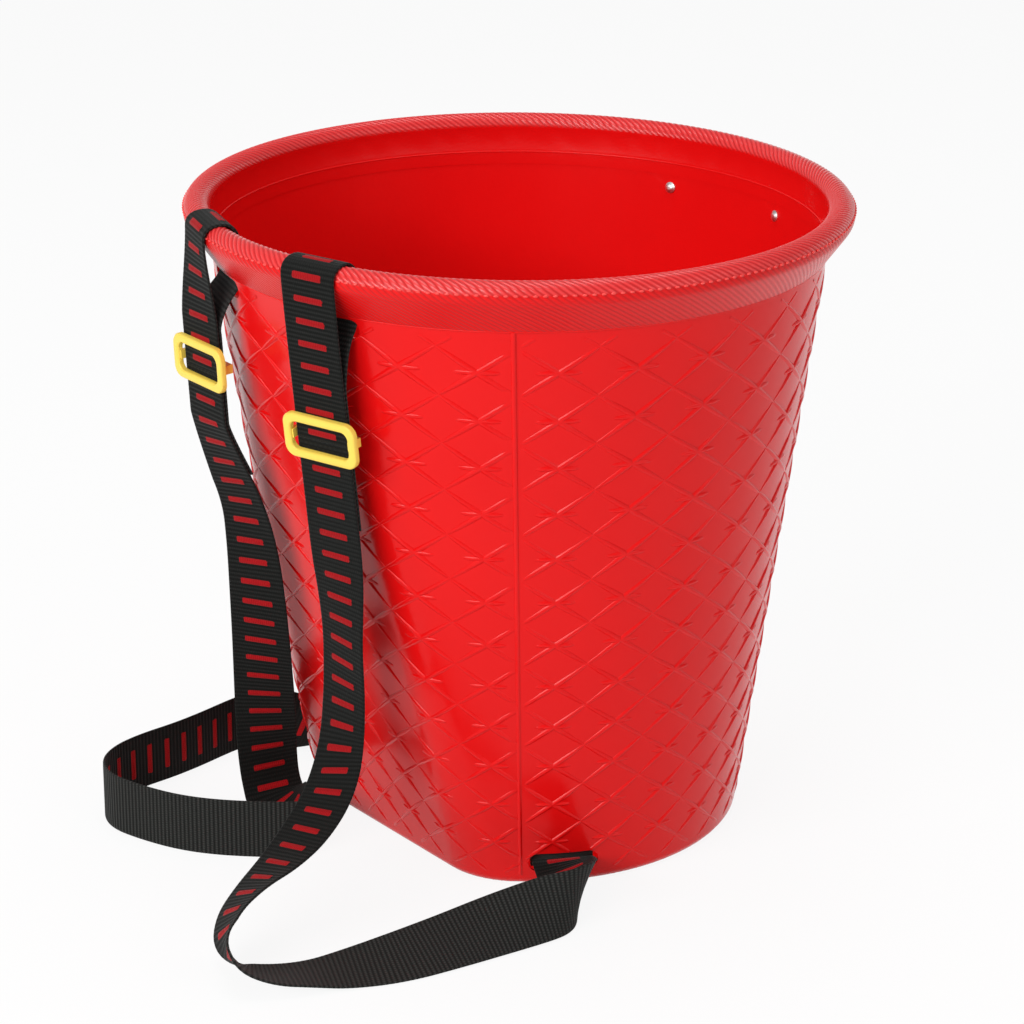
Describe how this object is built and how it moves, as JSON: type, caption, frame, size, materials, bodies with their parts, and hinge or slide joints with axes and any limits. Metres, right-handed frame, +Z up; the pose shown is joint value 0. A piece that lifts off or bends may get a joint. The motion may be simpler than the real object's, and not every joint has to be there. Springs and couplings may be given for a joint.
{
  "type": "harvest backpack basket",
  "caption": "Open moulded harvest basket with a rolled round rim and a flat back, worn on two webbing shoulder straps with slide buckles.",
  "frame": {"origin": "on the underside of the base, straight below the middle of the rim", "axes": "+Z up, -Y out of the flat back that lies against the wearer, +X to the wearer's left"},
  "size_m": [0.45, 0.552, 0.4483],
  "materials": {
    "red_plastic": "glossy moulded plastic with an embossed diamond lattice",
    "webbing": "ribbed black webbing with woven red bars on one face",
    "yellow_plastic": "moulded yellow plastic",
    "rivet_metal": "polished",
    "washer_metal": "zinc plated"
  },
  "bodies": {
    "basket": {"basket_shell": "red_plastic", "left_rim_loop": "webbing", "right_rim_loop": "webbing", "left_shoulder_run": "webbing", "right_shoulder_run": "webbing", "left_strap_stop": "webbing", "right_strap_stop": "webbing", "front_rivets": "rivet_metal", "rivet_washers": "washer_metal"},
    "left_slider": {"left_buckle": "yellow_plastic"},
    "right_slider": {"right_buckle": "yellow_plastic"}
  },
  "joints": [
    {"name": "left_buckle_slide", "type": "slide", "parent": "basket", "child": "left_slider", "axis": [0.0391, -0.132, 0.9905], "range_m": [-0.04, 0.02]},
    {"name": "right_buckle_slide", "type": "slide", "parent": "basket", "child": "right_slider", "axis": [-0.0159, -0.0536, 0.9984], "range_m": [-0.024, 0.012]}
  ]
}
